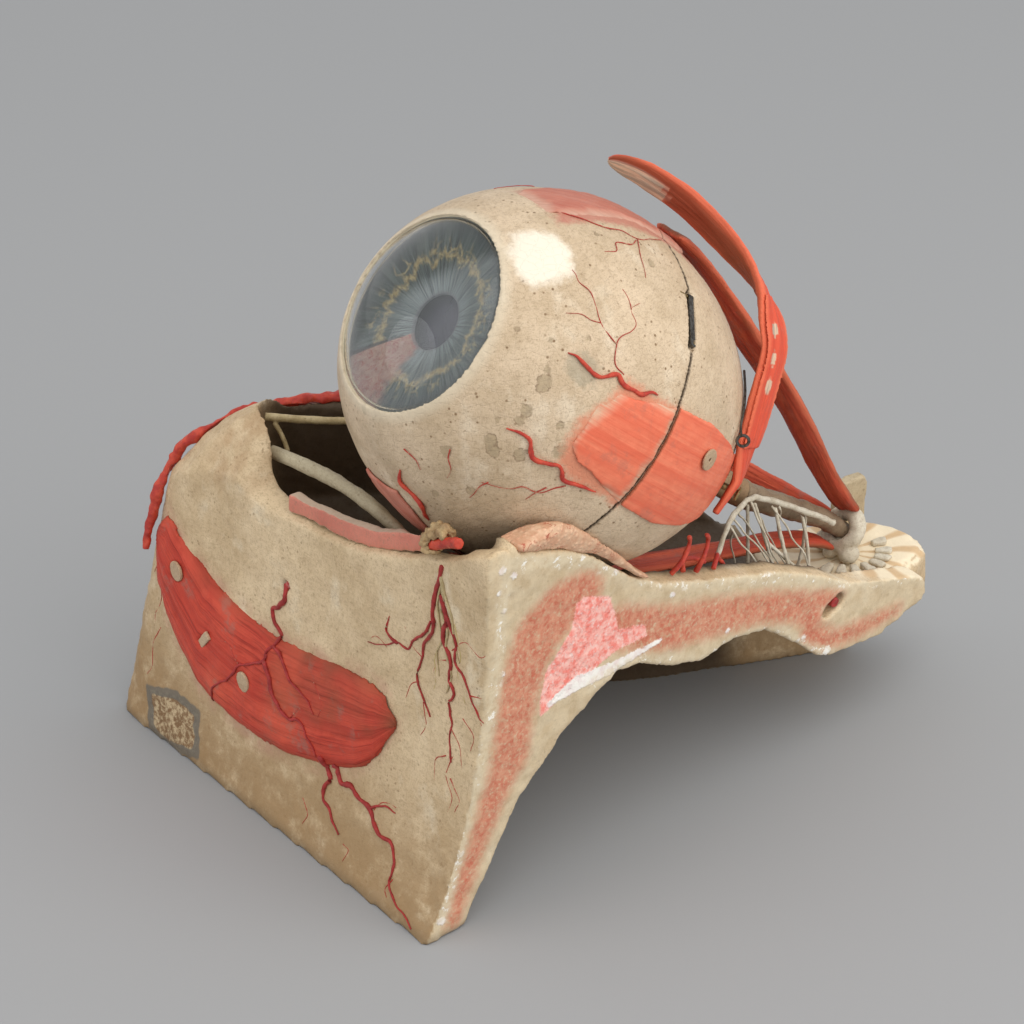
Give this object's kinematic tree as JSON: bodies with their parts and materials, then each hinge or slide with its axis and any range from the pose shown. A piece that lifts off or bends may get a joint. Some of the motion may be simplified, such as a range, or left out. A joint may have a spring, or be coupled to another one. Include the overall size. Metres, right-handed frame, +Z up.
{
  "type": "anatomical eye model",
  "caption": "Anatomical eye model: nested opening globe with cornea, iris, lens and coats, lying with its muscles and nerves in a cut block of the orbit.",
  "frame": {"origin": "middle of the bounding box at table level, under the block", "axes": "+Z up; the eye looks towards -Y and up; +X is the cut outer side of the orbit, +Y the apex with the optic nerve"},
  "size_m": [0.191, 0.256, 0.2251],
  "materials": {
    "skin_paper": "aged varnished papier-mache",
    "bone_paper": "aged papier-mache with painted spongy bone on the cut",
    "muscle_paper": "fibrous painted papier-mache",
    "label_paper": "blank paper tags",
    "artery_cord": "red painted wire",
    "nerve_cord": "cream painted wire",
    "rim_paper": "pink painted papier-mache",
    "tuft_fibre": "crumbled fibre",
    "pad_paper": "orange-brown painted papier-mache",
    "carotid_paper": "red painted papier-mache",
    "nerve_paper": "cream painted papier-mache",
    "peg_wood": "turned wood",
    "sclera_paper": "aged cream papier-mache",
    "choroid_paper": "dark brown painted papier-mache",
    "retina_paper": "pale orange painted papier-mache",
    "iris_paper": "hand painted iris",
    "clear_glass": "blown glass",
    "brass": "dull brass",
    "iron_wire": "dark wire"
  },
  "bodies": {
    "base": {"cheek_shell": "skin_paper", "nasal_wall": "bone_paper", "orbit_floor": "bone_paper", "temporal_section": "bone_paper", "apex_block": "bone_paper", "apex_tab": "bone_paper", "cheek_muscle": "muscle_paper", "cheek_muscle_labels": "label_paper", "cheek_artery": "artery_cord", "malar_vessels": "artery_cord", "malar_nerves": "nerve_cord", "facial_artery": "artery_cord", "rim_bar": "rim_paper", "inferior_oblique_rod": "nerve_cord", "nasal_nerves": "nerve_cord", "fat_tuft": "tuft_fibre", "tuft_artery": "artery_cord", "fat_pad": "pad_paper", "carotid_artery": "carotid_paper", "ganglion_fan": "nerve_paper", "tendon_ring": "nerve_paper", "optic_nerve": "nerve_paper", "optic_socket": "peg_wood", "frontal_nerve": "nerve_cord", "ciliary_nerves": "nerve_cord", "orbital_vessels": "artery_cord", "superior_rectus": "muscle_paper", "inferior_rectus": "muscle_paper", "medial_rectus": "muscle_paper"},
    "eye_rear": {"sclera_rear": "sclera_paper", "choroid_rear": "choroid_paper", "retina": "retina_paper", "optic_stub": "peg_wood", "lateral_insertion_rear": "muscle_paper", "rectus_insertions_rear": "muscle_paper", "insertion_label": "label_paper", "strap_nail": "brass", "strap_eyelet": "iron_wire", "catch_stud": "brass"},
    "strap": {"lateral_rectus_strap": "muscle_paper", "strap_sleeve": "muscle_paper", "strap_hook": "iron_wire"},
    "vitreous": {"vitreous_body": "clear_glass"},
    "lens": {"crystalline_lens": "clear_glass"},
    "uvea_front": {"choroid_front": "choroid_paper", "ciliary_ring": "choroid_paper", "iris": "iris_paper"},
    "eye_front": {"sclera_front": "sclera_paper", "cornea": "clear_glass", "lateral_insertion_front": "muscle_paper", "rectus_insertions_front": "muscle_paper", "globe_arteries": "artery_cord", "catch_pin": "brass"},
    "catch": {"seam_catch": "brass"}
  },
  "joints": [
    {"name": "eye_draw", "type": "slide", "parent": "base", "child": "eye_rear", "axis": [0, -0.7738, 0.6334], "range_m": [0, 0.12]},
    {"name": "vitreous_lift", "type": "slide", "parent": "eye_rear", "child": "vitreous", "axis": [0, -0.7738, 0.6334], "range_m": [0, 0.07]},
    {"name": "lens_lift", "type": "slide", "parent": "vitreous", "child": "lens", "axis": [0, -0.7738, 0.6334], "range_m": [0, 0.04]},
    {"name": "uvea_lift", "type": "slide", "parent": "lens", "child": "uvea_front", "axis": [0, -0.7738, 0.6334], "range_m": [0, 0.05]},
    {"name": "front_half_lift", "type": "slide", "parent": "uvea_front", "child": "eye_front", "axis": [0, -0.7738, 0.6334], "range_m": [0, 0.06]},
    {"name": "catch_turn", "type": "hinge", "parent": "eye_front", "child": "catch", "pos_m": [0.07025, -0.00547, 0.19603], "axis": [0, -0.7738, 0.6334], "range_deg": [0, 75]},
    {"name": "strap_swing", "type": "hinge", "parent": "eye_rear", "child": "strap", "pos_m": [0.07391, 0.0063, 0.12784], "axis": [0.7171, 0.5624, -0.4117], "range_deg": [-20, 0]}
  ]
}
